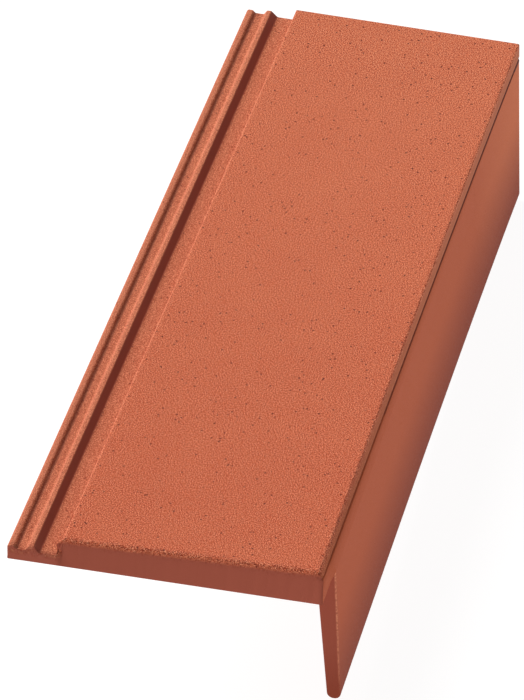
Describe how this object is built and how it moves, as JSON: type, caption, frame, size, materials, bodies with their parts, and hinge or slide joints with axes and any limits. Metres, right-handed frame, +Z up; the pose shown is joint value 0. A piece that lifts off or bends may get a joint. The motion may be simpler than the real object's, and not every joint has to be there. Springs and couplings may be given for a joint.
{
  "type": "half verge tile",
  "caption": "Flat half-width roof tile with a ribbed side interlock, a leaning nose, hanging nibs and a deep lap down the verge side.",
  "frame": {"origin": "centre of the batten seat: on the slab's underside, half a 38 mm batten below the nibs' faces and midway between the nibs", "axes": "+Z up out of the weather face, +Y up the roof from nose to head, +X towards the verge lap"},
  "size_m": [0.1463, 0.42, 0.091],
  "materials": {
    "concrete": "matte"
  },
  "bodies": {
    "root": {"half_verge_tile": "concrete"}
  },
  "joints": []
}
